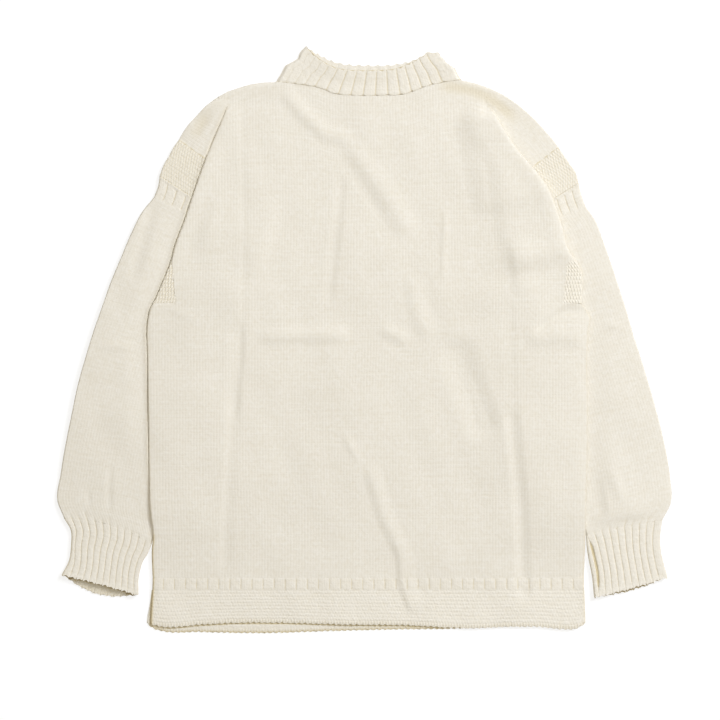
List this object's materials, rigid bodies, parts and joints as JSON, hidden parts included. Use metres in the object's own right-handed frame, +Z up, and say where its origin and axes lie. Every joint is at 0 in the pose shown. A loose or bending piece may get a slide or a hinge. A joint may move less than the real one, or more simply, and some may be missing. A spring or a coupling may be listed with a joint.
{
  "type": "guernsey fisherman sweater, laid flat",
  "caption": "Wool guernsey sweater laid flat on its back: ribbed stand collar, drop shoulders, garter-stitch gussets and split welt, ribbed sleeve heads and cuffs.",
  "frame": {"origin": "on the surface that the garment lies on, under the middle of its outline", "axes": "+X to the right as one looks down on the garment, +Y towards the neck, +Z up from the surface"},
  "size_m": [0.7476, 0.7138, 0.0116],
  "materials": {
    "stockinette": "matte worsted wool, tight stocking stitch",
    "rib": "matte worsted wool, two-by-two rib",
    "garter": "matte worsted wool, garter stitch"
  },
  "bodies": {
    "root": {"front_panel": "stockinette", "back_panel": "stockinette", "front_rib_band": "rib", "back_rib_band": "rib", "front_welt": "garter", "back_welt": "garter", "collar": "rib", "left_shoulder_band": "garter", "right_shoulder_band": "garter", "left_sleeve_head": "rib", "right_sleeve_head": "rib", "left_sleeve": "stockinette", "right_sleeve": "stockinette", "left_cuff": "rib", "right_cuff": "rib", "left_gusset": "garter", "right_gusset": "garter"}
  },
  "joints": []
}
